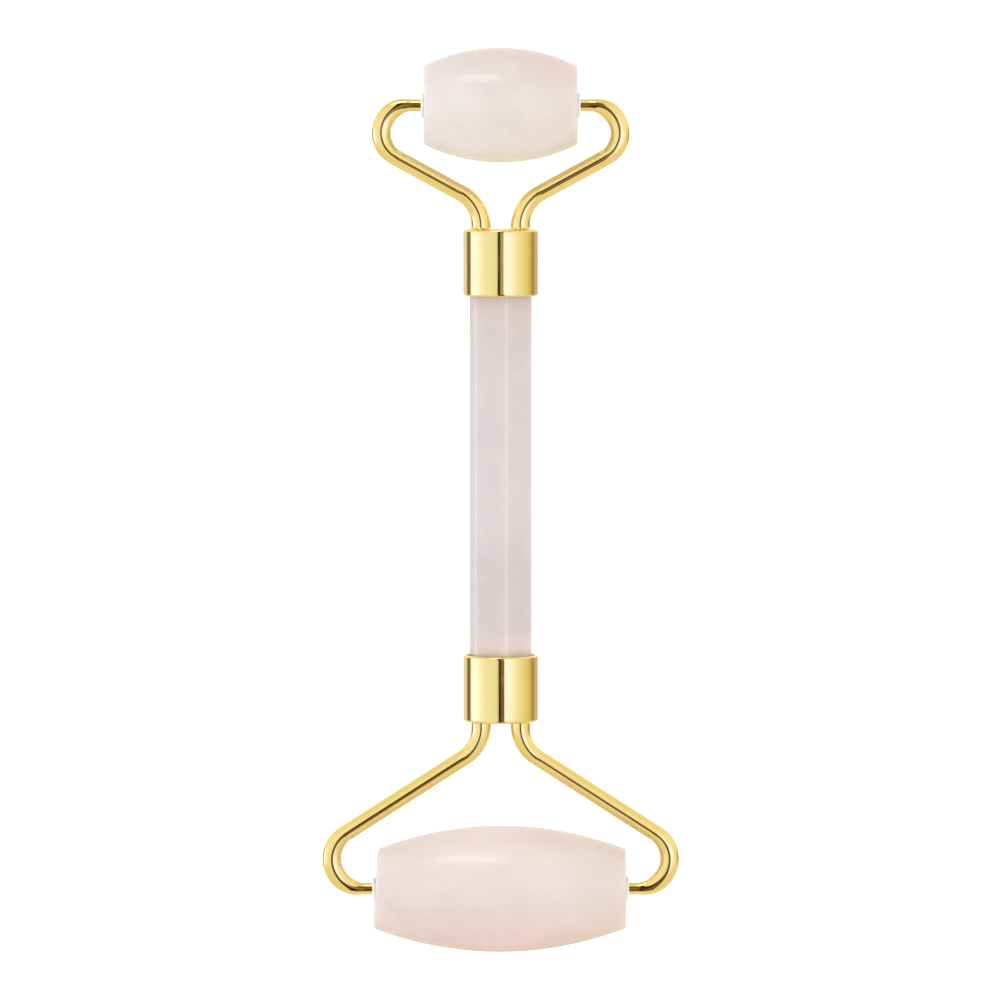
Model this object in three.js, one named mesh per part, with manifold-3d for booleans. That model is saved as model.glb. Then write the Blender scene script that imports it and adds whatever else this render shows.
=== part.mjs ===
// A two-ended rose quartz face roller. Millimetres, +Z up.
//
// A hexagonal stone handle stands along Z. A gold-plated ferrule cup is glued over each end. Two arms
// are brazed into the closed end of each cup, lie in the XZ plane, and turn in at their tips to make a
// pair of pins. A barrel-shaped stone roller spins on each pair of pins, on flanged nylon bushes
// pressed into the ends of its bore: the small roller at the top and the large one at the bottom.
// The origin is on the axis of the handle, in the middle of the whole length.

import * as THREE from "three";
import { mergeVertices } from "three/addons/utils/BufferGeometryUtils.js";
import Module from "manifold-3d";

// ---- Driving dimensions ----

// Handle: a hexagonal rod. Its corner radius is measured to the sharp corners, before the bevel.
const HANDLE = {
  cornerRadius: 5.35,
  bevel: 0.3,
  turn: THREE.MathUtils.degToRad(10.3), // the front corner stands this far round towards +X
  exposedLength: 57.6,
  gluedLength: 7,
  endChamfer: 0.3,
  plainEnds: 1, // length next to each ferrule that is kept off the long flat faces
};

// Ferrule: a round cup, open towards the handle and closed towards the arms.
const FERRULE = {
  radius: 6,
  length: 10.7,
  wall: 0.5,
  cap: 1,
  capEdge: 0.45,
  mouthEdge: 0.35,
};

// Arms: the same rod for all four, bent to the two sets of fork dimensions below. The radii are for
// the pin, the outer bend, the straight run, the root and the tail inside the cup. The one for the bend
// is half its width, which the rod reaches by wideBy and keeps until slimFrom, both shares of the bend.
// Its depth, from front to back, grows evenly from the pin's to the run's. The braze is a cone round the
// foot of the arm with a hollow side, whose waist is given as shares of its height and spread.
const ARM = {
  pinRadius: 1,
  bendRadius: 1.53,
  runRadius: 1.35,
  rootRadius: 1.6,
  wideBy: 0.4,
  slimFrom: 0.75,
  tailRadius: 1.2,
  brazeRadius: 1.9,
  brazeHeight: 0.35,
  brazeWaist: { height: 0.33, spread: 0.3 },
  rootOffset: 3.15, // from the axis of the handle to where an arm enters the ferrule
  rootBend: 6,
  tailInCup: 1.2,
  tipChamfer: 0.2,
};

// Fork: the height of the roller's axis from the middle of the handle, how far out the middle line
// of the arms reaches, the radius of the outer bends, and the slope of the straight runs.
const SMALL_FORK = {
  axisHeight: 59.3,
  reach: 19.1,
  outerBend: 4.45,
  slope: THREE.MathUtils.degToRad(28.6),
};
const LARGE_FORK = {
  axisHeight: 66.5,
  reach: 27.15,
  outerBend: 4.85,
  slope: THREE.MathUtils.degToRad(32.7),
};

// Rollers: barrels with a crown that is an arc.
const SMALL_ROLLER = { length: 24.6, middleRadius: 9.2, endRadius: 6.3 };
const LARGE_ROLLER = { length: 40.3, middleRadius: 10.17, endRadius: 6.38 };
const ROLLER_EDGE = 0.6;

// Bushes: flanged sleeves, a running fit on the pins.
const BUSH = {
  flangeRadius: 2,
  flangeThickness: 0.42,
  sleeveRadius: 1.6,
  length: 5,
  edge: 0.15,
};
const PIN_CLEARANCE = 0.06;
const PIN_DEPTH = 4.5; // how much of a pin is inside its bush

const COLORS = {
  handle: 0xe2d4d6,
  smallRoller: 0xe8d8d6,
  largeRoller: 0xead5ce,
  gold: 0xf0cf70,
  nylon: 0xf4f3f0,
  epoxy: 0xe9e4cf,
};

const GLUE_RECESS = 0.4; // from the mouth of a ferrule to the adhesive
const GAP = 0.04; // between pieces that are fixed to each other
const CURVE_STEPS = 4; // straight pieces in a rounded edge; a full arc has twice as many
const ROUND_SIDES = 40;
const SMALL_SIDES = 24;
const ARM_SIDES = 16;
const OUTER_BEND_STEPS = 12;
const RUN_STEPS = 5;
const ROOT_BEND_STEPS = 6;

// ---- Dimensions worked out from those ----

const ferruleMouth = HANDLE.exposedLength / 2;
const ferruleTop = ferruleMouth + FERRULE.length;
const handleEnd = ferruleMouth + HANDLE.gluedLength;
const cupRadius = FERRULE.radius - FERRULE.wall;
const cupFloor = ferruleTop - FERRULE.cap;
const rollerBore = BUSH.sleeveRadius + GAP;

// ---- Solids ----

const wasm = await Module();
wasm.setup();

function solidFrom(geometry) {
  const bare = geometry.clone();
  bare.deleteAttribute("normal");
  bare.deleteAttribute("uv");
  const merged = mergeVertices(bare);
  return new wasm.Manifold(
    new wasm.Mesh({
      numProp: 3,
      vertProperties: merged.attributes.position.array,
      triVerts: new Uint32Array(merged.index.array),
    }),
  );
}

function geometryFrom(solid) {
  const mesh = solid.getMesh();
  const geometry = new THREE.BufferGeometry();
  geometry.setAttribute("position", new THREE.BufferAttribute(mesh.vertProperties, mesh.numProp));
  geometry.setIndex(new THREE.BufferAttribute(mesh.triVerts, 1));
  geometry.computeVertexNormals();
  return geometry;
}

function cut(geometry, cutters) {
  const solid = solidFrom(geometry);
  return geometryFrom(cutters.reduce((left, cutter) => left.subtract(solidFrom(cutter)), solid));
}

// A closed solid through rings that each have the same number of points. The rings run anticlockwise
// as seen from the last one, and a flat fan closes each end.
function lofted(rings) {
  const sides = rings[0].length;
  const lastRing = (rings.length - 1) * sides;
  const index = [];
  for (let start = 0; start < lastRing; start += sides) {
    for (let side = 0; side < sides; side++) {
      const here = start + side;
      const next = start + ((side + 1) % sides);
      index.push(here, next, next + sides, here, next + sides, here + sides);
    }
  }
  for (let side = 1; side < sides - 1; side++) {
    index.push(0, side + 1, side);
    index.push(lastRing, lastRing + side, lastRing + side + 1);
  }
  const geometry = new THREE.BufferGeometry().setFromPoints(rings.flat());
  geometry.setIndex(index);
  geometry.computeVertexNormals();
  return geometry;
}

// An outline turned about Z. Its first coordinate is the radius and its second the height.
function turned(outline, sides) {
  const profile = outline.getPoints(CURVE_STEPS);
  return new THREE.LatheGeometry(profile, sides).rotateX(Math.PI / 2);
}

// A round bar along Z, for cutting holes.
function bar(radius, x, bottom, top) {
  const geometry = new THREE.CylinderGeometry(radius, radius, top - bottom, SMALL_SIDES);
  return geometry.rotateX(Math.PI / 2).translate(x, 0, (bottom + top) / 2);
}

// ---- Handle ----

// The handle's hexagon at one height, each corner cut to a narrow bevel.
function hexagonRing(height, cornerRadius) {
  const firstCorner = HANDLE.turn - Math.PI / 2;
  const corner = (k) => {
    const angle = firstCorner + (k * Math.PI) / 3;
    return new THREE.Vector3(cornerRadius * Math.cos(angle), cornerRadius * Math.sin(angle), height);
  };
  const share = HANDLE.bevel / cornerRadius;
  const ring = [];
  for (let k = 0; k < 6; k++) {
    ring.push(corner(k).lerp(corner(k - 1), share));
    ring.push(corner(k).lerp(corner(k + 1), share));
  }
  return ring;
}

// The flats run in one piece from ferrule to ferrule, just short of both mouths.
function handleGeometry() {
  const flatEnd = ferruleMouth - HANDLE.plainEnds;
  const fullEnd = handleEnd - HANDLE.endChamfer;
  const endRadius = HANDLE.cornerRadius - HANDLE.endChamfer;
  return lofted([
    hexagonRing(-handleEnd, endRadius),
    hexagonRing(-fullEnd, HANDLE.cornerRadius),
    hexagonRing(-flatEnd, HANDLE.cornerRadius),
    hexagonRing(flatEnd, HANDLE.cornerRadius),
    hexagonRing(fullEnd, HANDLE.cornerRadius),
    hexagonRing(handleEnd, endRadius),
  ]);
}

// ---- Ferrule and adhesive, for the top end ----

function ferruleGeometry() {
  const { radius, capEdge, mouthEdge } = FERRULE;
  const outline = new THREE.Path()
    .moveTo(0, cupFloor)
    .lineTo(cupRadius, cupFloor)
    .lineTo(cupRadius, ferruleMouth)
    .lineTo(radius - mouthEdge, ferruleMouth)
    .quadraticCurveTo(radius, ferruleMouth, radius, ferruleMouth + mouthEdge)
    .lineTo(radius, ferruleTop - capEdge)
    .quadraticCurveTo(radius, ferruleTop, radius - capEdge, ferruleTop)
    .lineTo(0, ferruleTop);
  const holes = [-ARM.rootOffset, ARM.rootOffset].map((x) =>
    bar(ARM.tailRadius + GAP, x, cupFloor - FERRULE.cap, ferruleTop + FERRULE.cap),
  );
  return cut(turned(outline, ROUND_SIDES), holes);
}

// Clear epoxy that fills the cup round the end of the handle and the tails of the arms.
function adhesiveGeometry() {
  const bottom = ferruleMouth + GLUE_RECESS;
  const outline = new THREE.Path()
    .moveTo(0, bottom)
    .lineTo(cupRadius - GAP, bottom)
    .lineTo(cupRadius - GAP, cupFloor - GAP)
    .lineTo(0, cupFloor - GAP);
  const tailEnd = cupFloor - ARM.tailInCup;
  const tails = [-ARM.rootOffset, ARM.rootOffset].map((x) =>
    bar(ARM.tailRadius + GAP, x, tailEnd - GAP, ferruleTop),
  );
  const handle = lofted([
    hexagonRing(ferruleMouth, HANDLE.cornerRadius + GAP),
    hexagonRing(handleEnd + GAP, HANDLE.cornerRadius + GAP),
  ]);
  return cut(turned(outline, ROUND_SIDES), [handle, ...tails]);
}

// ---- Arms ----

// A rod through stations in the XZ plane, each with a place, a heading and a radius. Where the rod
// isn't round, depth is its radius from front to back.
function rodThrough(stations) {
  const across = new THREE.Vector3(0, 1, 0);
  const rings = stations.map(({ place, heading, radius, depth = radius }) => {
    const centre = new THREE.Vector3(place.x, 0, place.y);
    const outward = new THREE.Vector3(heading.y, 0, -heading.x);
    return Array.from({ length: ARM_SIDES }, (_, side) => {
      const angle = (side / ARM_SIDES) * 2 * Math.PI;
      return centre
        .clone()
        .addScaledVector(outward, radius * Math.cos(angle))
        .addScaledVector(across, depth * Math.sin(angle));
    });
  });
  return lofted(rings);
}

// Stations along one curve of an arm, after its first point. The radius and the depth are functions of
// how far along the curve a station is, from 0 to 1.
function stationsAlong(curve, steps, radiusAt, depthAt = radiusAt) {
  return Array.from({ length: steps }, (_, step) => {
    const along = (step + 1) / steps;
    return {
      place: curve.getPoint(along),
      heading: curve.getTangent(along),
      radius: radiusAt(along),
      depth: depthAt(along),
    };
  });
}

// The middle line of the arm on the +X side, from the outer bend to the ferrule: the outer bend, the
// straight run and the root bend. Both bends meet the run without a corner.
function armCurves({ axisHeight, reach, outerBend, slope }) {
  const bendCentre = new THREE.Vector2(reach - outerBend, axisHeight - outerBend);
  const runHeading = new THREE.Vector2(-Math.cos(slope), -Math.sin(slope));
  const runStart = new THREE.Vector2(Math.sin(slope), -Math.cos(slope))
    .multiplyScalar(outerBend)
    .add(bendCentre);
  const toCorner = (runStart.x - ARM.rootOffset) / Math.cos(slope);
  const corner = runStart.clone().addScaledVector(runHeading, toCorner);
  const cornerToBend = ARM.rootBend * Math.tan((Math.PI / 2 - slope) / 2);
  const rootCentre = new THREE.Vector2(ARM.rootOffset + ARM.rootBend, corner.y - cornerToBend);
  const path = new THREE.Path()
    .absarc(bendCentre.x, bendCentre.y, outerBend, Math.PI / 2, slope - Math.PI / 2, true)
    .absarc(rootCentre.x, rootCentre.y, ARM.rootBend, slope + Math.PI / 2, Math.PI, false);
  return path.curves;
}

// One arm, from the tip of its pin to the end of its tail inside the cup.
function armGeometry(fork, rollerLength) {
  const { pinRadius, bendRadius, runRadius, rootRadius, tailRadius, tipChamfer } = ARM;
  const { brazeRadius, brazeHeight, brazeWaist } = ARM;
  const { lerp, smoothstep } = THREE.MathUtils;
  const outward = new THREE.Vector2(1, 0);
  const inward = new THREE.Vector2(0, -1);
  const pinStation = (x, radius) => ({
    place: new THREE.Vector2(x, fork.axisHeight),
    heading: outward,
    radius,
  });
  const rootStation = (height, radius) => ({
    place: new THREE.Vector2(ARM.rootOffset, height),
    heading: inward,
    radius,
  });
  const outerBendRadius = (along) => {
    const widened = Math.sin((Math.PI / 2) * Math.min(along / ARM.wideBy, 1));
    const slimmed = smoothstep(along, ARM.slimFrom, 1);
    return lerp(pinRadius, bendRadius, widened) - (bendRadius - runRadius) * slimmed;
  };
  const outerBendDepth = (along) => lerp(pinRadius, runRadius, along);
  const rootBendRadius = (along) => lerp(runRadius, rootRadius, along);

  const tip = rollerLength / 2 + GAP + BUSH.flangeThickness - PIN_DEPTH;
  const tailEnd = cupFloor - ARM.tailInCup;
  const seat = ferruleTop + GAP;
  const brazeTop = seat + brazeHeight;
  const [outerArc, run, rootArc] = armCurves(fork);
  if (rootArc.getPoint(1).y < brazeTop) {
    throw new Error("The root bend has to end above the braze, or the rod doubles back on itself.");
  }
  return rodThrough([
    pinStation(tip, pinRadius - tipChamfer),
    pinStation(tip + tipChamfer, pinRadius),
    pinStation(fork.reach - fork.outerBend, pinRadius),
    ...stationsAlong(outerArc, OUTER_BEND_STEPS, outerBendRadius, outerBendDepth),
    ...stationsAlong(run, RUN_STEPS, () => runRadius),
    ...stationsAlong(rootArc, ROOT_BEND_STEPS, rootBendRadius),
    rootStation(brazeTop, rootRadius),
    rootStation(
      seat + brazeHeight * brazeWaist.height,
      lerp(rootRadius, brazeRadius, brazeWaist.spread),
    ),
    rootStation(seat, brazeRadius),
    rootStation(seat, tailRadius),
    rootStation(tailEnd, tailRadius),
  ]);
}

// ---- Rollers ----

// A stone barrel along X, bored right through.
function rollerGeometry({ length, middleRadius, endRadius }) {
  const half = length / 2;
  const drop = middleRadius - endRadius;
  const crownRadius = (half * half + drop * drop) / (2 * drop);
  const crownCentre = middleRadius - crownRadius;
  const crownEnd = Math.asin((half - ROLLER_EDGE) / crownRadius);
  const outline = new THREE.Path()
    .moveTo(rollerBore, -half)
    .lineTo(endRadius - ROLLER_EDGE, -half)
    .quadraticCurveTo(
      endRadius,
      -half,
      crownCentre + crownRadius * Math.cos(crownEnd),
      ROLLER_EDGE - half,
    )
    .absarc(crownCentre, 0, crownRadius, -crownEnd, crownEnd, false)
    .quadraticCurveTo(endRadius, half, endRadius - ROLLER_EDGE, half)
    .lineTo(rollerBore, half)
    .lineTo(rollerBore, -half);
  return turned(outline, ROUND_SIDES).rotateY(Math.PI / 2);
}

// A flanged bush for the +X end of a roller. The inner side of its flange is at x = 0.
function bushGeometry() {
  const { flangeRadius, flangeThickness, sleeveRadius, edge } = BUSH;
  const bore = ARM.pinRadius + PIN_CLEARANCE;
  const innerEnd = flangeThickness - BUSH.length;
  const outline = new THREE.Path()
    .moveTo(bore, innerEnd)
    .lineTo(sleeveRadius - edge, innerEnd)
    .lineTo(sleeveRadius, innerEnd + edge)
    .lineTo(sleeveRadius, 0)
    .lineTo(flangeRadius, 0)
    .lineTo(flangeRadius, flangeThickness - edge)
    .quadraticCurveTo(flangeRadius, flangeThickness, flangeRadius - edge, flangeThickness)
    .lineTo(bore, flangeThickness)
    .lineTo(bore, innerEnd);
  return turned(outline, SMALL_SIDES).rotateY(Math.PI / 2);
}

// ---- Materials ----

function stone(color) {
  return new THREE.MeshStandardMaterial({ color, roughness: 0.18, metalness: 0 });
}

function gold() {
  return new THREE.MeshStandardMaterial({ color: COLORS.gold, roughness: 0.1, metalness: 1 });
}

function nylon() {
  return new THREE.MeshStandardMaterial({ color: COLORS.nylon, roughness: 0.45, metalness: 0 });
}

function epoxy() {
  return new THREE.MeshStandardMaterial({ color: COLORS.epoxy, roughness: 0.3, metalness: 0 });
}

// ---- Assembly ----

function named(name, geometry, material) {
  const mesh = new THREE.Mesh(geometry, material);
  mesh.name = name;
  return mesh;
}

// The ferrule, adhesive and arms of one end, as they stand at the top.
function endGroup(end, fork, rollerLength) {
  const group = new THREE.Group();
  const rightArm = named(`arm_${end}_right`, armGeometry(fork, rollerLength), gold());
  const leftArm = named(`arm_${end}_left`, armGeometry(fork, rollerLength), gold());
  leftArm.rotation.z = Math.PI;
  group.add(named(`ferrule_${end}`, ferruleGeometry(), gold()));
  group.add(named(`adhesive_${end}`, adhesiveGeometry(), epoxy()));
  group.add(rightArm, leftArm);
  return group;
}

// A roller and its two bushes, with the middle of its axis at the group's origin.
function rollerGroup(size, dimensions, color) {
  const group = new THREE.Group();
  group.add(named(`${size}_roller_stone`, rollerGeometry(dimensions), stone(color)));
  const rightBush = named(`${size}_bush_right`, bushGeometry(), nylon());
  const leftBush = named(`${size}_bush_left`, bushGeometry(), nylon());
  rightBush.position.x = dimensions.length / 2 + GAP;
  leftBush.position.x = -rightBush.position.x;
  leftBush.rotation.z = Math.PI;
  group.add(rightBush, leftBush);
  return group;
}

const upperEnd = endGroup("upper", SMALL_FORK, SMALL_ROLLER.length);
const lowerEnd = endGroup("lower", LARGE_FORK, LARGE_ROLLER.length);
lowerEnd.scale.z = -1;

const smallRoller = rollerGroup("small", SMALL_ROLLER, COLORS.smallRoller);
const largeRoller = rollerGroup("large", LARGE_ROLLER, COLORS.largeRoller);
smallRoller.position.z = SMALL_FORK.axisHeight;
largeRoller.position.z = -LARGE_FORK.axisHeight;

// Everything above is placed from the middle of the handle, which stands a little above the origin
// because the large roller reaches further down than the small one reaches up.
const topReach = SMALL_FORK.axisHeight + SMALL_ROLLER.middleRadius;
const bottomReach = LARGE_FORK.axisHeight + LARGE_ROLLER.middleRadius;
const faceRoller = new THREE.Group();
faceRoller.add(named("handle_stone", handleGeometry(), stone(COLORS.handle)));
faceRoller.add(upperEnd, lowerEnd, smallRoller, largeRoller);
faceRoller.position.z = (bottomReach - topReach) / 2;

export default faceRoller;
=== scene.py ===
"""The looks of a rose quartz face roller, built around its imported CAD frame.

Every piece gets a fine mesh in the place of its CAD node, and a procedural material. The sizes come
from the boxes of the CAD nodes where those show them, and from the named values below where they don't.
"""

import math

import bpy
from mathutils import Matrix, Vector, noise


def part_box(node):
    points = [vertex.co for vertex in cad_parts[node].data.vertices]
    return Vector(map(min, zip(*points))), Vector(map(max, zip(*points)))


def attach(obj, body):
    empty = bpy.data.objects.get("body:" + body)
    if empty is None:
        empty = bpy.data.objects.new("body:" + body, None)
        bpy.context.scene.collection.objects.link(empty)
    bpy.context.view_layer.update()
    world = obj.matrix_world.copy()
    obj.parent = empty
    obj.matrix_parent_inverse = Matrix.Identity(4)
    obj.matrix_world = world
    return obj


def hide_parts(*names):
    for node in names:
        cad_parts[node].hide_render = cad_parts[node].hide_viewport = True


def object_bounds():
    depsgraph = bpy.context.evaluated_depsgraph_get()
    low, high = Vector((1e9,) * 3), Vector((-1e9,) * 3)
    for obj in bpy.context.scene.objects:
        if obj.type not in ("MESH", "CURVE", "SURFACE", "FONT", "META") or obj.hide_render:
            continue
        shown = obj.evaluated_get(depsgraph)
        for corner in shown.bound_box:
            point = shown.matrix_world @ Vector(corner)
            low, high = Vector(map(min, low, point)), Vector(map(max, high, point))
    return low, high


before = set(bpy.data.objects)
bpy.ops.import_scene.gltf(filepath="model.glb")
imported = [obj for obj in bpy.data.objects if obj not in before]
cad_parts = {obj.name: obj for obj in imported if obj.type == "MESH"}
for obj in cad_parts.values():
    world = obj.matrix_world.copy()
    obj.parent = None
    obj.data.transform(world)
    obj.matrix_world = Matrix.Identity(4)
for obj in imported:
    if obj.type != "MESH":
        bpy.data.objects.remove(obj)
cad_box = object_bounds()

MM = 0.001

# ---- Sizes that the boxes of the CAD nodes don't show ----

HANDLE_CORNER_RADIUS = 5.35 * MM  # to the sharp corners
HANDLE_EDGE_RADIUS = 0.42 * MM
HANDLE_TURN = math.radians(10.3)
HANDLE_WAVINESS = 0.012 * MM
HANDLE_WAVES_PER_METRE = 180
# Points along each flat of the handle, as shares of its width: the first and last are close to its
# rounded edges, so that it shades as a flat.
FLAT_SHARES = [0.02, 0.1, 0.3, 0.5, 0.7, 0.9, 0.98]

FERRULE_WALL = 0.5 * MM
FERRULE_CAP = 1 * MM
FERRULE_CAP_EDGE = 0.42 * MM
FERRULE_MOUTH_EDGE = 0.35 * MM
FERRULE_LIP_EDGE = 0.12 * MM  # the inside of the mouth
GLUE_RECESS = 0.4 * MM
GLUE_DEPTH = 3 * MM
GLUE_CLEARANCE = 0.02 * MM  # from the glue to the wall of the cup
# How deep the glue's surface lies, as shares of its recess: at its edges, and how much more between.
GLUE_EDGE_SHARE, GLUE_SAG_SHARE = 0.6, 0.5

PIN_RADIUS = 1 * MM
BEND_RADIUS = 1.53 * MM
RUN_RADIUS = 1.35 * MM
ROOT_RADIUS = 1.6 * MM
TAIL_RADIUS = 1.2 * MM
TAIL_HOLE_RADIUS = 1.24 * MM
TAIL_IN_CUP = 1.2 * MM
# Shares of the outer bend: the rod has its full width by the first, and slims from the second on.
WIDE_BY = 0.4
SLIM_FROM = 0.75
BRAZE_RADIUS = 1.92 * MM
BRAZE_HEIGHT = 0.35 * MM
BRAZE_GAP = 0.01 * MM  # from the ferrule's cap to the braze
ROOT_OFFSET = 3.15 * MM
ROOT_BEND = 6 * MM
TIP_EDGE = 0.2 * MM
PIN_IN_SLEEVE = 0.5 * MM  # from the inner end of a bush to the tip of its pin

FORKS = {
    "upper": {"bend": 4.45 * MM, "slope": math.radians(28.6)},
    "lower": {"bend": 4.85 * MM, "slope": math.radians(32.7)},
}

ROLLERS = {
    "small": {"end_radius": 6.3 * MM, "end_slant": 0.0},
    "large": {"end_radius": 6.38 * MM, "end_slant": math.radians(3.2)},
}
ROLLER_EDGE = 0.65 * MM
ROLLER_WAVINESS = 0.035 * MM
ROLLER_WAVES_PER_METRE = 110
BORE_RADIUS = 1.64 * MM
BORE_EDGE = 0.15 * MM

BUSH_SLEEVE_RADIUS = 1.6 * MM
BUSH_BORE_RADIUS = 1.06 * MM
BUSH_FLANGE = 0.42 * MM
BUSH_EDGE = 0.12 * MM

CLOSE = 0.1 * MM  # from a rounded edge to the next ring, so that the face beyond it shades flat
SIDES = 128
ARM_SIDES = 40
BUSH_SIDES = 64


# ---- Meshes ----


def arc(centre, radius, start, end, steps):
    """Points on an arc in a plane, from one angle in degrees to another."""
    angles = [math.radians(start + (end - start) * step / steps) for step in range(steps + 1)]
    return [centre + Vector((math.cos(a), math.sin(a))) * radius for a in angles]


def line(start, end, steps):
    """Points on a straight line in a plane, without its two ends."""
    return [start.lerp(end, step / steps) for step in range(1, steps)]


def piece_through(name, rings, looped=False):
    """A closed mesh through rings with the same number of points. A looped mesh joins its last ring
    to its first, and any other has a flat face over each end."""
    sides = len(rings[0])
    faces = []
    for ring in range(len(rings) if looped else len(rings) - 1):
        here = ring * sides
        there = (ring + 1) % len(rings) * sides
        for side in range(sides):
            after = (side + 1) % sides
            faces.append((here + side, here + after, there + after, there + side))
    if not looped:
        faces.append(tuple(reversed(range(sides))))
        faces.append(tuple(range((len(rings) - 1) * sides, len(rings) * sides)))
    mesh = bpy.data.meshes.new(name)
    mesh.from_pydata([point for ring in rings for point in ring], [], faces)
    mesh.shade_smooth()
    piece = bpy.data.objects.new(name, mesh)
    bpy.context.scene.collection.objects.link(piece)
    return piece


def turned_about_z(outline, sides):
    """Rings of an outline of (radius, height) points, turned about Z."""
    turns = [math.tau * side / sides for side in range(sides)]
    return [[Vector((p.x * math.cos(t), p.x * math.sin(t), p.y)) for t in turns] for p in outline]


def turned_about_x(outline, sides):
    """Rings of an outline of (distance along X, radius) points, turned about X."""
    turns = [math.tau * side / sides for side in range(sides)]
    return [[Vector((p.x, p.y * math.cos(t), p.y * math.sin(t))) for t in turns] for p in outline]


def placed(rings, place):
    return [[point + place for point in ring] for ring in rings]


def half_turned(rings, axis):
    turn = Matrix.Rotation(math.pi, 4, axis)
    return [[turn @ point for point in ring] for ring in rings]


def middle(node):
    low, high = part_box(node)
    return (low + high) / 2


def finished(piece, body, node, material):
    """Puts a finished piece on its body, in the place of its CAD node."""
    piece.data.materials.append(material)
    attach(piece, body)
    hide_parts(node)


# ---- Handle ----


def hexagon_ring(height):
    """The outline of the handle at one height, with rounded corners."""
    centre_radius = HANDLE_CORNER_RADIUS - HANDLE_EDGE_RADIUS / math.sin(math.radians(60))
    corners = []
    for corner in range(6):
        heading = math.degrees(HANDLE_TURN) - 90 + 60 * corner
        angle = math.radians(heading)
        centre = Vector((math.cos(angle), math.sin(angle))) * centre_radius
        corners.append(arc(centre, HANDLE_EDGE_RADIUS, heading - 30, heading + 30, steps=6))
    ring = []
    for corner, following in zip(corners, corners[1:] + corners[:1]):
        flat_start, flat_end = corner[-1], following[0]
        ring += corner + [flat_start.lerp(flat_end, share) for share in FLAT_SHARES]
    return [Vector((point.x, point.y, height)) for point in ring]


def waved(rings, waviness, waves_per_metre):
    """Moves every point a little in or out from the Z axis, as hand polishing leaves a surface."""
    result = []
    for ring in rings:
        moved = []
        for point in ring:
            outward = Vector((point.x, point.y, 0)).normalized()
            moved.append(point + outward * waviness * noise.noise(point * waves_per_metre))
        result.append(moved)
    return result


def build_handle(material):
    low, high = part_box("handle_stone")
    steps = 72
    heights = [low.z + (high.z - low.z) * step / steps for step in range(steps + 1)]
    rings = [hexagon_ring(height) for height in heights]
    piece = piece_through("handle", waved(rings, HANDLE_WAVINESS, HANDLE_WAVES_PER_METRE))
    finished(piece, "frame", "handle_stone", material)


# ---- Ferrules and glue ----


def ferrule_outline(radius, length):
    """From near the middle of the cup's floor to near the middle of its cap. Its mouth is at height 0."""
    cup_radius = radius - FERRULE_WALL
    cup_floor = length - FERRULE_CAP
    lip, mouth, cap = FERRULE_LIP_EDGE, FERRULE_MOUTH_EDGE, FERRULE_CAP_EDGE
    side_start = Vector((radius, mouth + CLOSE))
    side_end = Vector((radius, length - cap - CLOSE))
    return [
        Vector((3 * CLOSE, cup_floor)),
        Vector((cup_radius - 3 * CLOSE, cup_floor)),
        Vector((cup_radius, cup_floor - 3 * CLOSE)),
        Vector((cup_radius, lip + CLOSE)),
        *arc(Vector((cup_radius + lip, lip)), lip, 180, 270, steps=6),
        *arc(Vector((radius - mouth, mouth)), mouth, -90, 0, steps=10),
        side_start,
        *line(side_start, side_end, steps=12),
        side_end,
        *arc(Vector((radius - cap, length - cap)), cap, 0, 90, steps=10),
        Vector((radius - cap - CLOSE, length)),
        Vector((radius / 2, length)),
        Vector((3 * CLOSE, length)),
    ]


def cut_round_holes(piece, places, radius, depth):
    """Cuts upright round holes through a piece, one at each place."""
    for place in places:
        ends = [place + Vector((0, 0, -depth)), place + Vector((0, 0, depth))]
        circle = turned_about_z([Vector((radius, 0))], ARM_SIDES)[0]
        cutter = piece_through("cutter", [[point + end for point in circle] for end in ends])
        modifier = piece.modifiers.new("hole", "BOOLEAN")
        modifier.object = cutter
        modifier.operation = "DIFFERENCE"
        modifier.solver = "EXACT"
        evaluated = piece.evaluated_get(bpy.context.evaluated_depsgraph_get())
        solid = piece.data
        piece.data = bpy.data.meshes.new_from_object(evaluated)
        piece.modifiers.clear()
        bpy.data.meshes.remove(solid)
        bpy.data.objects.remove(cutter)


def ferrule_frame(end):
    """The mouth of a ferrule, and the way from there to its cap: 1 is up and -1 is down."""
    low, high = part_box(f"ferrule_{end}")
    upward = 1 if end == "upper" else -1
    return (low.z if upward == 1 else high.z), upward


def standing(rings, mouth, upward):
    """Rings drawn from height 0 upwards, moved to a ferrule's mouth and turned its way."""
    if upward == -1:
        rings = half_turned(rings, "X")
    return placed(rings, Vector((0, 0, mouth)))


def build_ferrule(end, material):
    node = f"ferrule_{end}"
    low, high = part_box(node)
    radius, length = high.y, high.z - low.z
    mouth, upward = ferrule_frame(end)
    rings = turned_about_z(ferrule_outline(radius, length), SIDES)
    piece = piece_through(f"{end}_ferrule", standing(rings, mouth, upward))
    cap = mouth + upward * length
    places = [Vector((x, 0, cap)) for x in (-ROOT_OFFSET, ROOT_OFFSET)]
    cut_round_holes(piece, places, TAIL_HOLE_RADIUS, 2 * FERRULE_CAP)
    finished(piece, "frame", node, material)


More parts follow.
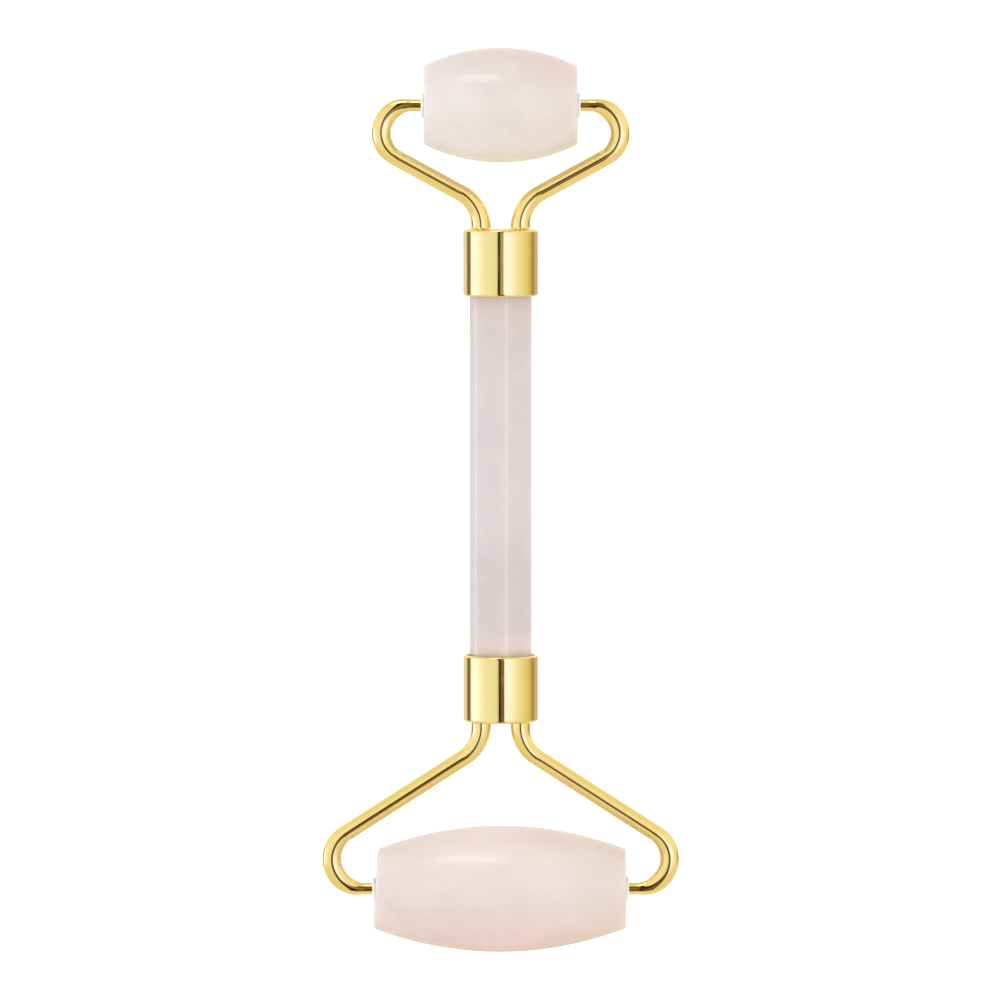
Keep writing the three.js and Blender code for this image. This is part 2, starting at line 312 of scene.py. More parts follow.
def build_glue(end, material):
    """The ring of epoxy that shows between a ferrule's mouth and the handle, with a meniscus."""
    node = f"adhesive_{end}"
    mouth, upward = ferrule_frame(end)
    _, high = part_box(f"ferrule_{end}")
    outer_radius = high.y - FERRULE_WALL - GLUE_CLEARANCE
    inner = hexagon_ring(0)
    steps = 8
    surface = []
    for step in range(steps + 1):
        share = step / steps
        sag = GLUE_RECESS * (GLUE_EDGE_SHARE + GLUE_SAG_SHARE * math.sin(math.pi * share))
        ring = []
        for point in inner:
            outer = point.normalized() * outer_radius
            ring.append(point.lerp(outer, share) + Vector((0, 0, sag)))
        surface.append(ring)
    depth = Vector((0, 0, GLUE_DEPTH))
    bottom = [[point + depth for point in surface[-1]], [point + depth for point in surface[0]]]
    piece = piece_through(f"{end}_glue", standing(surface + bottom, mouth, upward), looped=True)
    finished(piece, "frame", node, material)


# ---- Arms ----


def ease(share):
    share = min(max(share, 0), 1)
    return share * share * (3 - 2 * share)


def outer_bend_radii(share):
    """Half the rod's width and half its depth, part of the way round the outer bend. The depth, from
    front to back, grows evenly over the whole bend."""
    widened = (BEND_RADIUS - PIN_RADIUS) * math.sin(math.pi / 2 * min(share / WIDE_BY, 1))
    slimmed = (BEND_RADIUS - RUN_RADIUS) * ease((share - SLIM_FROM) / (1 - SLIM_FROM))
    return PIN_RADIUS + widened - slimmed, PIN_RADIUS + (RUN_RADIUS - PIN_RADIUS) * share


def root_bend_radii(share):
    radius = RUN_RADIUS + (ROOT_RADIUS - RUN_RADIUS) * share
    return radius, radius


def arc_stations(centre, radius, start, end, radii, steps):
    """Stations along an arc of the middle line: place, heading, and half the rod's width and depth."""
    way = 1 if end > start else -1
    stations = []
    for step in range(1, steps + 1):
        share = step / steps
        angle = math.radians(start + (end - start) * share)
        spoke = Vector((math.cos(angle), math.sin(angle)))
        heading = Vector((-spoke.y, spoke.x)) * way
        stations.append((centre + spoke * radius, heading, *radii(share)))
    return stations


def pin_stations(tip, end, height):
    """The pin, from its rounded tip outwards to the start of the outer bend."""
    outward = Vector((1, 0))
    tip_edge = arc(Vector((tip + TIP_EDGE, PIN_RADIUS - TIP_EDGE)), TIP_EDGE, 180, 90, steps=6)
    stations = [(Vector((point.x, height)), outward, point.y, point.y) for point in tip_edge]
    shaft_start, shaft_end = Vector((tip + TIP_EDGE, height)), Vector((end, height))
    shaft = line(shaft_start, shaft_end, steps=10) + [shaft_end]
    return stations + [(place, outward, PIN_RADIUS, PIN_RADIUS) for place in shaft]


def foot_stations(cap):
    """The hollow-sided braze round the foot of the arm, and the tail inside the cup."""
    inward = Vector((0, -1))
    foot = cap + BRAZE_GAP
    fillet_width = BRAZE_RADIUS - ROOT_RADIUS
    profile = []
    for angle in range(0, 91, 10):
        turn = math.radians(angle)
        height = foot + BRAZE_HEIGHT * (1 - math.sin(turn))
        profile.append((height, ROOT_RADIUS + fillet_width * (1 - math.cos(turn))))
    profile += [(foot, TAIL_RADIUS), (cap - FERRULE_CAP - TAIL_IN_CUP, TAIL_RADIUS)]
    return [(Vector((ROOT_OFFSET, height)), inward, radius, radius) for height, radius in profile]


def arm_stations(reach, axis_height, tip, cap, bend, slope):
    """Stations of the arm on the +X side of an upper fork, from the tip of its pin to its tail.
    Heights are from the ferrule's mouth."""
    slope_degrees = math.degrees(slope)
    bend_centre = Vector((reach - bend, axis_height - bend))
    run_heading = Vector((-math.cos(slope), -math.sin(slope)))
    run_start = bend_centre + Vector((math.sin(slope), -math.cos(slope))) * bend
    corner = run_start + run_heading * ((run_start.x - ROOT_OFFSET) / math.cos(slope))
    root_drop = ROOT_BEND * math.tan((math.pi / 2 - slope) / 2)
    root_centre = Vector((ROOT_OFFSET + ROOT_BEND, corner.y - root_drop))
    run_end = root_centre + Vector((-math.sin(slope), math.cos(slope))) * ROOT_BEND
    run = line(run_start, run_end, steps=24) + [run_end]
    return [
        *pin_stations(tip, reach - bend, axis_height),
        *arc_stations(bend_centre, bend, 90, slope_degrees - 90, outer_bend_radii, steps=60),
        *[(place, run_heading, RUN_RADIUS, RUN_RADIUS) for place in run],
        *arc_stations(root_centre, ROOT_BEND, slope_degrees + 90, 180, root_bend_radii, steps=28),
        *foot_stations(cap),
    ]


def rod_rings(stations):
    """Rings of points round the middle line of a rod that lies in the XZ plane."""
    turns = [math.tau * side / ARM_SIDES for side in range(ARM_SIDES)]
    rings = []
    for place, heading, half_width, half_depth in stations:
        centre = Vector((place.x, 0, place.y))
        outward = Vector((heading.y, 0, -heading.x)) * half_width
        across = Vector((0, half_depth, 0))
        rings.append([centre + outward * math.cos(t) + across * math.sin(t) for t in turns])
    return rings


def build_arm(end, side, roller, material):
    node = f"arm_{end}_{side}"
    _, arm_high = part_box(f"arm_{end}_right")
    bush_low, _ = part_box(f"{roller}_bush_right")
    ferrule_low, ferrule_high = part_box(f"ferrule_{end}")
    mouth, upward = ferrule_frame(end)
    stations = arm_stations(
        reach=arm_high.x - BEND_RADIUS,
        axis_height=(middle(f"{roller}_roller_stone").z - mouth) * upward,
        tip=bush_low.x + PIN_IN_SLEEVE,
        cap=ferrule_high.z - ferrule_low.z,
        **FORKS[end],
    )
    rings = rod_rings(stations)
    if side == "left":
        rings = half_turned(rings, "Z")
    piece = piece_through(f"{end}_{side}_arm", standing(rings, mouth, upward))
    finished(piece, "frame", node, material)


# ---- Rollers and bushes ----


def roller_outline(half, middle_radius, end_radius):
    """A barrel with rounded edges and a bore, as (distance along X, radius) points. Each edge is an
    arc that meets the crown and the end face without a corner."""
    edge = ROLLER_EDGE
    drop = middle_radius - end_radius
    crown_radius = (half * half + drop * drop) / (2 * drop)
    crown_centre = Vector((0, middle_radius - crown_radius))
    lean = math.asin((half - edge) / (crown_radius - edge))
    toward_edge = Vector((math.sin(lean), math.cos(lean)))
    edge_centre = crown_centre + toward_edge * (crown_radius - edge)
    lean = math.degrees(lean)
    face_start = Vector((half, edge_centre.y - CLOSE))
    face_end = Vector((half, BORE_RADIUS + BORE_EDGE + CLOSE))
    right_end = [
        *arc(edge_centre, edge, 90 - lean, 0, steps=12)[1:],
        face_start,
        *line(face_start, face_end, steps=8),
        face_end,
        *arc(Vector((half - BORE_EDGE, BORE_RADIUS + BORE_EDGE)), BORE_EDGE, 0, -90, steps=4),
        Vector((half - BORE_EDGE - CLOSE, BORE_RADIUS)),
    ]
    left_end = [Vector((-point.x, point.y)) for point in reversed(right_end)]
    crown = arc(crown_centre, crown_radius, 90 + lean, 90 - lean, steps=96)
    return left_end + crown + right_end


def hand_cut(rings, half, end_slant):
    """Slants the left end a little and moves the surface in and out slightly, as hand cutting does."""
    result = []
    for ring in rings:
        moved = []
        for point in ring:
            outward = Vector((0, point.y, point.z)).normalized()
            wave = ROLLER_WAVINESS * noise.noise(point * ROLLER_WAVES_PER_METRE)
            at_left_end = ease(-point.x / half)
            slant = Vector((point.z * math.tan(end_slant) * at_left_end, 0, 0))
            moved.append(point + outward * wave + slant)
        result.append(moved)
    return result


def build_roller(size, material):
    node = f"{size}_roller_stone"
    low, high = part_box(node)
    half = (high.x - low.x) / 2
    outline = roller_outline(half, (high.y - low.y) / 2, ROLLERS[size]["end_radius"])
    rings = hand_cut(turned_about_x(outline, SIDES), half, ROLLERS[size]["end_slant"])
    piece = piece_through(f"{size}_roller", placed(rings, middle(node)), looped=True)
    finished(piece, f"{size}_roller", node, material)


def bush_outline(length, flange_radius):
    """A flanged sleeve for the +X end of a roller, with the outside of its flange at X = 0."""
    edge = BUSH_EDGE
    return [
        Vector((-length, BUSH_BORE_RADIUS + edge)),
        Vector((-length, BUSH_SLEEVE_RADIUS - edge)),
        Vector((-length + edge, BUSH_SLEEVE_RADIUS)),
        Vector((-BUSH_FLANGE - edge, BUSH_SLEEVE_RADIUS)),
        Vector((-BUSH_FLANGE, BUSH_SLEEVE_RADIUS)),
        Vector((-BUSH_FLANGE, flange_radius - edge)),
        *arc(Vector((-BUSH_FLANGE + edge, flange_radius - edge)), edge, 180, 90, steps=5),
        *arc(Vector((-edge, flange_radius - edge)), edge, 90, 0, steps=5),
        Vector((0, BUSH_BORE_RADIUS + 2 * edge)),
        *arc(Vector((-edge, BUSH_BORE_RADIUS + edge)), edge, 0, -90, steps=5),
        Vector((-length + edge, BUSH_BORE_RADIUS)),
    ]


def build_bush(size, side, material):
    node = f"{size}_bush_{side}"
    low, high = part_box(node)
    rings = turned_about_x(bush_outline(high.x - low.x, (high.y - low.y) / 2), BUSH_SIDES)
    outer_face = Vector((high.x, 0, 0))
    if side == "left":
        rings = half_turned(rings, "Z")
        outer_face = Vector((low.x, 0, 0))
    outer_face.z = middle(node).z
    piece = piece_through(f"{size}_{side}_bush", placed(rings, outer_face), looped=True)
    finished(piece, f"{size}_roller", node, material)


# ---- Nodes for materials ----

# Where the sockets for colours are on a Mix node, which has a set of them for each kind of value.
MIX_SHARE, MIX_FIRST, MIX_SECOND, MIX_RESULT = 0, 6, 7, 2


def feed(tree, socket, value):
    """Gives an input its value, or joins it to another node's output."""
    if isinstance(value, bpy.types.NodeSocket):
        tree.links.new(value, socket)
    else:
        socket.default_value = value


def set_inputs(tree, node, inputs):
    for name, value in inputs.items():
        feed(tree, node.inputs[name], value)


def new_node(tree, kind, inputs=None, **settings):
    """Adds a node. An input is a value, or a socket to join to it."""
    made = tree.nodes.new(kind)
    for name, value in settings.items():
        setattr(made, name, value)
    set_inputs(tree, made, inputs or {})
    return made


def place_in(tree):
    """Where a point is in its piece, in metres."""
    return new_node(tree, "ShaderNodeTexCoord").outputs["Object"]


def clouds(tree, place, size, detail, distortion=0.0):
    """Noise whose largest lumps are about the given size in metres."""
    inputs = {
        "Vector": place,
        "Scale": 1 / size,
        "Detail": detail,
        "Roughness": 0.55,
        "Distortion": distortion,
    }
    return new_node(tree, "ShaderNodeTexNoise", inputs).outputs["Fac"]


def stretched(tree, place, factors):
    return new_node(
        tree, "ShaderNodeVectorMath", {0: place, 1: factors}, operation="MULTIPLY"
    ).outputs["Vector"]


def ranged(tree, value, start, end, low, high, smooth=False):
    """Carries a value from one range to another, and stops at the ends of the second."""
    inputs = {"Value": value, "From Min": start, "From Max": end, "To Min": low, "To Max": high}
    kind = "SMOOTHSTEP" if smooth else "LINEAR"
    return new_node(tree, "ShaderNodeMapRange", inputs, interpolation_type=kind).outputs["Result"]


def calculated(tree, operation, first, second=0.0):
    return new_node(tree, "ShaderNodeMath", {0: first, 1: second}, operation=operation).outputs[0]


def mixed(tree, share, first, second, blend="MIX"):
    """Mixes two colours. Each is a socket or (red, green, blue)."""
    colors = [c if isinstance(c, bpy.types.NodeSocket) else (*c, 1) for c in (first, second)]
    made = new_node(tree, "ShaderNodeMix", data_type="RGBA", blend_type=blend)
    for place, value in zip((MIX_SHARE, MIX_FIRST, MIX_SECOND), (share, *colors)):
        feed(tree, made.inputs[place], value)
    return made.outputs[MIX_RESULT]


def ramp(tree, value, start, end, stops):
    """A colour for each value, through stops of (value, colour)."""
    made = new_node(tree, "ShaderNodeValToRGB", {"Fac": ranged(tree, value, start, end, 0, 1)})
    elements = made.color_ramp.elements
    while len(elements) < len(stops):
        elements.new(0.5)
    for element, (at, color) in zip(elements, stops):
        element.position = (at - start) / (end - start)
        element.color = (*color, 1)
    return made.outputs["Color"]


def bumped(tree, height, depth, under=None):
    """A bump of the given depth in metres, on top of another one if there is one."""
    inputs = {"Height": height, "Strength": 1.0, "Distance": depth}
    if under is not None:
        inputs["Normal"] = under
    return new_node(tree, "ShaderNodeBump", inputs).outputs["Normal"]


def new_material(name):
    material = bpy.data.materials.new(name)
    material.use_nodes = True
    return material, material.node_tree, material.node_tree.nodes["Principled BSDF"]


# ---- Materials ----

STONE_CONTRAST = 0.02
VEIL_COLOR = (0.82, 0.77, 0.75)
VEIL_STRENGTH = 0.12
BLUSH_COLOR = (0.72, 0.55, 0.53)

# The colours of each stone: its tones as (height from the middle of the whole length, colour), tints
# that multiply them as (distance along X, colour), and pink clouds as (centre, radius, strength).
# The tones are partly the stone's own colour and partly painted shade and light by height, so they
# turn with the stone.
HANDLE_STONE = {
    "tones_and_painted_shade": [
        (-25.5 * MM, (0.74, 0.58, 0.50)),
        (-23.5 * MM, (0.70, 0.585, 0.555)),
        (-21 * MM, (0.61, 0.54, 0.545)),
        (-13 * MM, (0.58, 0.525, 0.53)),
        (-3 * MM, (0.62, 0.57, 0.575)),
        (16 * MM, (0.63, 0.56, 0.57)),
        (23 * MM, (0.61, 0.55, 0.555)),
        (33 * MM, (0.605, 0.515, 0.495)),
    ],
    "tints": [(-5 * MM, (1, 1.01, 1.01)), (5 * MM, (1, 1, 1))],
    "blushes": [],
}
SMALL_ROLLER_STONE = {
    "tones_and_painted_shade": [
        (54 * MM, (0.675, 0.60, 0.525)),
        (57 * MM, (0.655, 0.59, 0.545)),
        (61 * MM, (0.685, 0.63, 0.585)),
        (65.5 * MM, (0.72, 0.665, 0.645)),
        (70 * MM, (0.715, 0.64, 0.62)),
        (72.6 * MM, (0.705, 0.605, 0.58)),
    ],
    "tints": [(-12 * MM, (0.99, 1.02, 1.045)), (0, (1, 1, 1)), (12 * MM, (0.98, 0.955, 0.91))],
    "blushes": [
        (Vector((9, -5, 70)) * MM, 7 * MM, 0.62),
        (Vector((2, -2, 72)) * MM, 5 * MM, 0.3),
    ],
}
LARGE_ROLLER_STONE = {
    "tones_and_painted_shade": [
        # The lighter stop at the very bottom is painted light, which offsets the shade under the roller.
        (-72.6 * MM, (0.76, 0.62, 0.57)),
        (-69.8 * MM, (0.67, 0.545, 0.505)),
        (-67.4 * MM, (0.685, 0.58, 0.54)),
        (-65 * MM, (0.705, 0.615, 0.59)),
        (-60 * MM, (0.75, 0.665, 0.65)),
        (-55.7 * MM, (0.80, 0.70, 0.67)),
        (-52.3 * MM, (0.82, 0.71, 0.67)),
    ],
    "tints": [(-20 * MM, (0.96, 0.96, 0.965)), (0, (1, 1, 1)), (20 * MM, (0.94, 0.93, 0.88))],
    "blushes": [
        (Vector((8, -4, -53)) * MM, 7 * MM, 0.25),
        (Vector((2, -5, -71)) * MM, 8 * MM, 0.25),
    ],
}


def stone_color(tree, place, stone, drift_size):
    """The colours of one stone, which soft clouds shift a little and make a little lighter or darker,
    under faint veils. Its tones hold painted shade and light by height as well as the stone's colour."""
    parts = new_node(tree, "ShaderNodeSeparateXYZ", {"Vector": place})
    wander = calculated(tree, "SUBTRACT", clouds(tree, place, 2 * drift_size, detail=2), 0.5)
    wander = calculated(tree, "MULTIPLY", wander, 0.5 * drift_size)
    height = calculated(tree, "ADD", parts.outputs["Z"], wander)
    tones_and_painted_shade, tints = stone["tones_and_painted_shade"], stone["tints"]
    # Painted shade and light: the tones darken and lighten the stone by height, as light falls on it.
    color = ramp(tree, height, tones_and_painted_shade[0][0], tones_and_painted_shade[-1][0], tones_and_painted_shade)
    tint = ramp(tree, parts.outputs["X"], tints[0][0], tints[-1][0], tints)
    color = mixed(tree, 1.0, color, tint, blend="MULTIPLY")
    for centre, radius, strength in stone["blushes"]:
        away = new_node(tree, "ShaderNodeVectorMath", {0: place, 1: centre}, operation="DISTANCE")
        share = ranged(tree, away.outputs["Value"], 0, radius, strength, 0, smooth=True)
        color = mixed(tree, share, color, BLUSH_COLOR)
    cloud = clouds(tree, place, drift_size, detail=3, distortion=0.4)
    lightness = ranged(tree, cloud, 0.3, 0.7, 1 - STONE_CONTRAST, 1 + STONE_CONTRAST)
    color = new_node(
        tree, "ShaderNodeVectorMath", {0: color, "Scale": lightness}, operation="SCALE"
    ).outputs["Vector"]
    veil = clouds(tree, place, 0.4 * drift_size, detail=5)
    veil = ranged(tree, veil, 0.5, 0.72, 0, VEIL_STRENGTH, smooth=True)
    return mixed(tree, veil, color, VEIL_COLOR)


def rose_quartz(name, stone, drift_size):
    """Polished, milky rose quartz in the colours of one stone."""
    material, tree, shader = new_material(name)
    place = place_in(tree)
    color = stone_color(tree, place, stone, drift_size)
    polish = clouds(tree, place, 3 * MM, detail=5)
    waves = clouds(tree, place, 2.5 * MM, detail=2)
    grain = clouds(tree, place, 0.12 * MM, detail=2)
    normal = bumped(tree, grain, 0.0008 * MM, bumped(tree, waves, 0.004 * MM))
    set_inputs(tree, shader, {
        "Base Color": color,
        "Roughness": ranged(tree, polish, 0.3, 0.7, 0.17, 0.24),
        "IOR": 1.54,
        "Normal": normal,
        "Subsurface Weight": 0.75,
        "Subsurface Radius": (1.0, 0.72, 0.68),
        "Subsurface Scale": 2.5 * MM,
    })
    return material


def gold_plating():
    """Bright, pale gold plating, with a slight orange peel and fine polishing scratches."""
    material, tree, shader = new_material("gold_plating")
    place = place_in(tree)
    tone = ranged(tree, clouds(tree, place, 5 * MM, detail=3), 0.35, 0.65, 0, 1)
    peel = clouds(tree, place, 0.9 * MM, detail=2)
    scratches = clouds(tree, stretched(tree, place, (1, 1, 9)), 0.5 * MM, detail=3)
    smears = clouds(tree, place, 2.5 * MM, detail=5)
    normal = bumped(tree, scratches, 0.0006 * MM, bumped(tree, peel, 0.0016 * MM))
    set_inputs(tree, shader, {
        "Base Color": mixed(tree, tone, (0.90, 0.735, 0.305), (0.93, 0.775, 0.345)),
        "Metallic": 1.0,
        "Roughness": ranged(tree, smears, 0.3, 0.7, 0.05, 0.1),
        "Normal": normal,
    })
    return material


def white_nylon():
    """Moulded white nylon: satin, slightly uneven and a little translucent."""
    material, tree, shader = new_material("white_nylon")
    place = place_in(tree)
    tone = clouds(tree, place, 1.2 * MM, detail=4)
    texture = clouds(tree, place, 0.15 * MM, detail=3)
    set_inputs(tree, shader, {
        "Base Color": mixed(tree, tone, (0.95, 0.945, 0.935), (0.97, 0.965, 0.96)),
        "Roughness": ranged(tree, texture, 0.3, 0.7, 0.36, 0.5),
        "Normal": bumped(tree, texture, 0.004 * MM),
        "Specular IOR Level": 0.25,
        "Subsurface Weight": 0.35,
        "Subsurface Radius": (1.0, 0.95, 0.9),
        "Subsurface Scale": 0.5 * MM,
    })
    return material


def clear_epoxy():
    """Set epoxy with a yellow cast and a few fine bubbles."""
    material, tree, shader = new_material("clear_epoxy")
    place = place_in(tree)
    tone = clouds(tree, place, 1.5 * MM, detail=3)
    bubbles = new_node(tree, "ShaderNodeTexVoronoi", {"Vector": place, "Scale": 1 / (0.35 * MM)})
    dimples = ranged(tree, bubbles.outputs["Distance"], 0.05, 0.2, 0, 1, smooth=True)
    set_inputs(tree, shader, {
        "Base Color": mixed(tree, tone, (0.82, 0.72, 0.48), (0.88, 0.80, 0.60)),
        "Roughness": ranged(tree, tone, 0.3, 0.7, 0.08, 0.2),
        "IOR": 1.55,
        "Transmission Weight": 0.5,
        "Normal": bumped(tree, dimples, 0.02 * MM),
    })
    return material


# ---- Studio ----

CAMERA_DISTANCE = 1.45
CAMERA_ELEVATION = math.radians(3.5)
CAMERA_AIM = Vector((-0.105, 0, 0.15)) * MM
VIEW_WIDTH = 160.3 * MM
SENSOR_WIDTH = 36

# The panels of the light tent as a polished piece reflects them: azimuths in degrees from the camera,
# with + to the right, and the colour of the light from there.
PANELS = [
    (-180, (0.43, 0.43, 0.43)),
    (-168, (0.62, 0.62, 0.62)),
    (-156, (0.78, 0.78, 0.73)),
    (-133, (0.96, 0.89, 0.78)),
    (-123, (0.20, 0.14, 0.07)),
    (-109, (0.28, 0.22, 0.16)),
    (-97, (1.90, 1.90, 2.30)),
    (-90, (1.50, 1.45, 2.20)),
    (-72, (1.25, 1.20, 1.60)),
    (-50, (1.00, 1.02, 1.05)),
    (-14, (0.92, 0.94, 0.86)),
    (-10, (0.80, 0.80, 0.70)),
    (9, (1.30, 1.26, 1.95)),
    (12, (1.35, 1.30, 2.10)),
    (28, (1.25, 1.22, 1.85)),
    (50, (1.00, 1.02, 1.05)),
    (72, (0.90, 0.87, 0.64)),
    (92, (0.82, 0.76, 0.40)),
    (108, (0.62, 0.50, 0.24)),
    (114, (0.47, 0.34, 0.14)),
    (122, (0.45, 0.32, 0.12)),
    (132, (0.61, 0.54, 0.38)),
    (148, (0.62, 0.58, 0.50)),
    (166, (0.60, 0.60, 0.60)),
    (180, (0.43, 0.43, 0.43)),
]

# The dark gap between the panels, where the camera looks in. All in degrees.
GAP_LEFT, GAP_RIGHT = -9.5, 8.5
GAP_REACH = 47  # how far it goes up and down
GAP_BROWN = (0.20, 0.12, 0.04)
GAP_BLACK = (0.04, 0.02, 0.005)
GAP_BLACK_RIGHT = -3
GAP_TAN = (0.50, 0.45, 0.36)  # what stands behind the camera, seen in the right half of the gap
TAN_LOW, TAN_HIGH = -3.3, 3
TAN_LEFT, TAN_RIGHT = 0, 7
LOW_GAP_SHIFT = 3  # below TAN_LOW the gap stands this much further right
GAP_SPREAD = 50  # the elevation at which the gap is twice as wide
GAP_SOFTNESS, GAP_REACH_SOFTNESS, BLACK_SOFTNESS, TAN_SOFTNESS = 0.7, 3, 0.5, 0.3

# The warmer light from above and below, by elevation in degrees. The panels stand level with what an
# upright surface reflects, and the warm light takes over between two distances above and below that.
# Behind the object, from the first azimuth to the second, the panels become so many times shorter.
ABOVE_AND_BELOW = [
    (-90, (0.95, 0.92, 0.78)),
    (-45, (0.86, 0.80, 0.58)),
    (-12, (0.93, 0.84, 0.64)),
    (12, (1.03, 0.99, 0.88)),
    (35, (1.00, 0.95, 0.78)),
    (60, (0.87, 0.81, 0.55)),
    (90, (0.86, 0.81, 0.58)),
]
PANELS_MIDDLE = -3.5
PANELS_END, WARM_LIGHT_START = 2.5, 20
BEHIND_START, BEHIND_END = 120, 160
SHORTER_BEHIND = 3

# The even light that everything but reflections gets, by elevation in degrees, and the backdrop.
EVEN_LIGHT = [
    (-90, (0.90, 0.90, 0.90)),
    (0, (0.98, 0.98, 0.98)),
    (90, (1.08, 1.08, 1.08)),
]
BACKDROP_WHITE = (1.3, 1.3, 1.3)

SOFTBOX_ELEVATION = math.radians(60)
SOFTBOX_AZIMUTH = math.radians(-24)
SOFTBOX_DISTANCE = 1.0
SOFTBOX_WIDTH, SOFTBOX_HEIGHT = 0.42, 0.24
SOFTBOX_ENERGY = 0.85

FLOOR_HALF = 6.0
FLOOR_GAP = 0.02 * MM
FLOOR_GLOW = 0.4
FLOOR_EXTRA_GLOW = 0.35  # what the camera sees on top of that


def step_down(tree, value, place, softness):
    """1 below a value, falling softly to 0 above it."""
    return ranged(tree, value, place - softness, place + softness, 1, 0, smooth=True)


def window(tree, value, low, high, softness):
    """1 between two values, falling softly to 0 outside them."""
    rise = ranged(tree, value, low - softness, low + softness, 0, 1, smooth=True)
    fall = step_down(tree, value, high, softness)
    return calculated(tree, "MULTIPLY", rise, fall)


def gap_in_panels(tree, azimuth, elevation):
    """The colour of the gap, and how much of it shows in each direction."""
    low = step_down(tree, elevation, TAN_LOW, TAN_SOFTNESS)
    shift = calculated(tree, "MULTIPLY", low, LOW_GAP_SHIFT)
    azimuth = calculated(tree, "SUBTRACT", azimuth, shift)
    steepness = calculated(tree, "DIVIDE", elevation, GAP_SPREAD)
    steepness = calculated(tree, "POWER", calculated(tree, "ABSOLUTE", steepness), 2.0)
    widening = calculated(tree, "ADD", steepness, 1.0)
    azimuth = calculated(tree, "DIVIDE", azimuth, widening)
    across = window(tree, azimuth, GAP_LEFT, GAP_RIGHT, GAP_SOFTNESS)
    upright = window(tree, elevation, -GAP_REACH, GAP_REACH, GAP_REACH_SOFTNESS)
    share = calculated(tree, "MULTIPLY", across, upright)
    black = step_down(tree, azimuth, GAP_BLACK_RIGHT, BLACK_SOFTNESS)
    tan_across = window(tree, azimuth, TAN_LEFT, TAN_RIGHT, GAP_SOFTNESS)
    tan_upright = window(tree, elevation, TAN_LOW, TAN_HIGH, TAN_SOFTNESS)
    tan = calculated(tree, "MULTIPLY", tan_across, tan_upright)
    color = mixed(tree, tan, mixed(tree, black, GAP_BROWN, GAP_BLACK), GAP_TAN)
    return color, share


def reflected_light(tree, azimuth, elevation):
    """What polished pieces reflect: the panels, warmer light above and below them, and the gap."""
    panels = ramp(tree, azimuth, -180, 180, PANELS)
    warm_light = ramp(tree, elevation, -90, 90, ABOVE_AND_BELOW)
    off_panels = calculated(tree, "SUBTRACT", elevation, PANELS_MIDDLE)
    off_panels = calculated(tree, "ABSOLUTE", off_panels)
    aside = calculated(tree, "ABSOLUTE", azimuth)
    shortening = ranged(tree, aside, BEHIND_START, BEHIND_END, 1, SHORTER_BEHIND, smooth=True)
    off_panels = calculated(tree, "MULTIPLY", off_panels, shortening)
    warm_share = ranged(tree, off_panels, PANELS_END, WARM_LIGHT_START, 0, 1, smooth=True)
    gap_color, gap_share = gap_in_panels(tree, azimuth, elevation)
    return mixed(tree, gap_share, mixed(tree, warm_share, panels, warm_light), gap_color)


def light_the_studio():
    """A light tent: even white light on the stones, panels with a gap at the camera in reflections,
    and plain white behind."""
    world = bpy.data.worlds.new("light_tent")
    bpy.context.scene.world = world
    world.use_nodes = True
    tree = world.node_tree
    background = tree.nodes["Background"]
    direction = new_node(tree, "ShaderNodeTexCoord").outputs["Generated"]
    parts = new_node(tree, "ShaderNodeSeparateXYZ", {"Vector": direction})
    away = calculated(tree, "MULTIPLY", parts.outputs["Y"], -1.0)
    azimuth = calculated(tree, "ARCTAN2", parts.outputs["X"], away)
    azimuth = calculated(tree, "DEGREES", azimuth)
    elevation = calculated(tree, "DEGREES", calculated(tree, "ARCSINE", parts.outputs["Z"]))
    reflected = reflected_light(tree, azimuth, elevation)
    even = ramp(tree, elevation, -90, 90, EVEN_LIGHT)
    ray = new_node(tree, "ShaderNodeLightPath")
    light = mixed(tree, ray.outputs["Is Glossy Ray"], even, reflected)
    light = mixed(tree, ray.outputs["Is Camera Ray"], light, BACKDROP_WHITE)
    tree.links.new(light, background.inputs["Color"])


def add_softbox():
    """One softbox above and to the left, which leaves a soft highlight on each roller."""
    light = bpy.data.lights.new("softbox", "AREA")
    light.shape = "RECTANGLE"
    light.size, light.size_y = SOFTBOX_WIDTH, SOFTBOX_HEIGHT
    light.energy = SOFTBOX_ENERGY
    softbox = bpy.data.objects.new("softbox", light)
    bpy.context.scene.collection.objects.link(softbox)
    toward = Vector((
        math.sin(SOFTBOX_AZIMUTH) * math.cos(SOFTBOX_ELEVATION),
        -math.cos(SOFTBOX_AZIMUTH) * math.cos(SOFTBOX_ELEVATION),
        math.sin(SOFTBOX_ELEVATION),
    ))
    softbox.location = toward * SOFTBOX_DISTANCE
    softbox.rotation_euler = toward.to_track_quat("Z", "Y").to_euler()


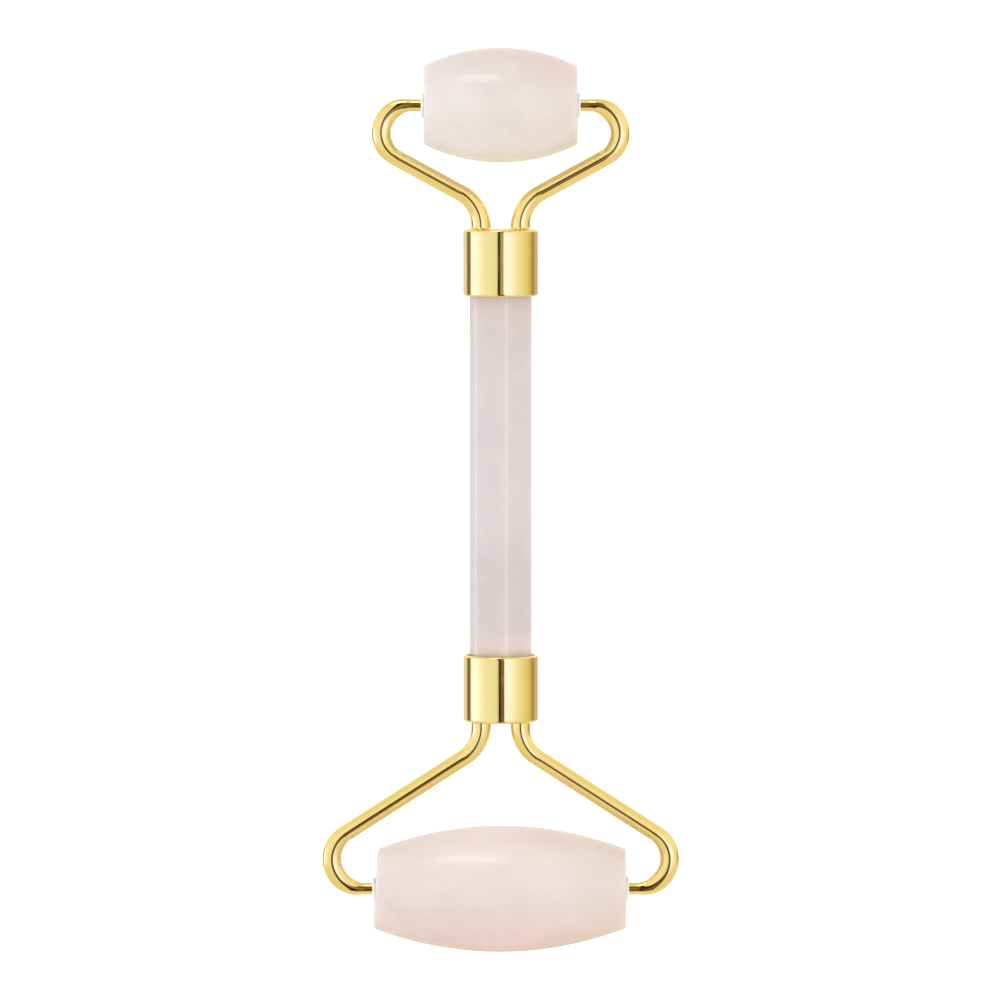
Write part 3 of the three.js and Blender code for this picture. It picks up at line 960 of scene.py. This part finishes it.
def add_floor():
    """A plain white floor just under the large roller, bright enough to meet the backdrop."""
    low, _ = cad_box
    half, height = FLOOR_HALF, low.z - FLOOR_GAP
    corners = [(-half, -half, height), (half, -half, height), (half, half, height), (-half, half, height)]
    mesh = bpy.data.meshes.new("floor")
    mesh.from_pydata(corners, [], [(0, 1, 2, 3)])
    floor = bpy.data.objects.new("floor", mesh)
    bpy.context.scene.collection.objects.link(floor)
    floor.visible_glossy = False
    material, tree, shader = new_material("floor_white")
    grain = clouds(tree, place_in(tree), 0.05, detail=3)
    seen = new_node(tree, "ShaderNodeLightPath").outputs["Is Camera Ray"]
    extra_glow = calculated(tree, "MULTIPLY", seen, FLOOR_EXTRA_GLOW)
    glow = calculated(tree, "ADD", extra_glow, FLOOR_GLOW)
    set_inputs(tree, shader, {
        "Base Color": mixed(tree, grain, (0.90, 0.90, 0.90), (0.93, 0.93, 0.93)),
        "Roughness": 0.9,
        "Emission Color": (1, 1, 1, 1),
        "Emission Strength": glow,
    })
    mesh.materials.append(material)


def add_camera():
    data = bpy.data.cameras.new("camera")
    data.sensor_width = SENSOR_WIDTH
    data.lens = SENSOR_WIDTH * CAMERA_DISTANCE / VIEW_WIDTH
    data.clip_start, data.clip_end = 0.1, 20
    camera = bpy.data.objects.new("camera", data)
    bpy.context.scene.collection.objects.link(camera)
    toward = Vector((0, -math.cos(CAMERA_ELEVATION), math.sin(CAMERA_ELEVATION)))
    camera.location = CAMERA_AIM + toward * CAMERA_DISTANCE
    camera.rotation_euler = toward.to_track_quat("Z", "Y").to_euler()
    bpy.context.scene.camera = camera


# ---- The whole ----


def build_pieces():
    gold, nylon, epoxy = gold_plating(), white_nylon(), clear_epoxy()
    roller_stones = {"small": SMALL_ROLLER_STONE, "large": LARGE_ROLLER_STONE}
    build_handle(rose_quartz("handle_quartz", HANDLE_STONE, 9 * MM))
    for end, roller in (("upper", "small"), ("lower", "large")):
        build_ferrule(end, gold)
        build_glue(end, epoxy)
        for side in ("left", "right"):
            build_arm(end, side, roller, gold)
            build_bush(roller, side, nylon)
        build_roller(roller, rose_quartz(f"{roller}_roller_quartz", roller_stones[roller], 7 * MM))


build_pieces()
light_the_studio()
add_softbox()
add_floor()
add_camera()
bpy.context.scene.view_settings.view_transform = "Standard"
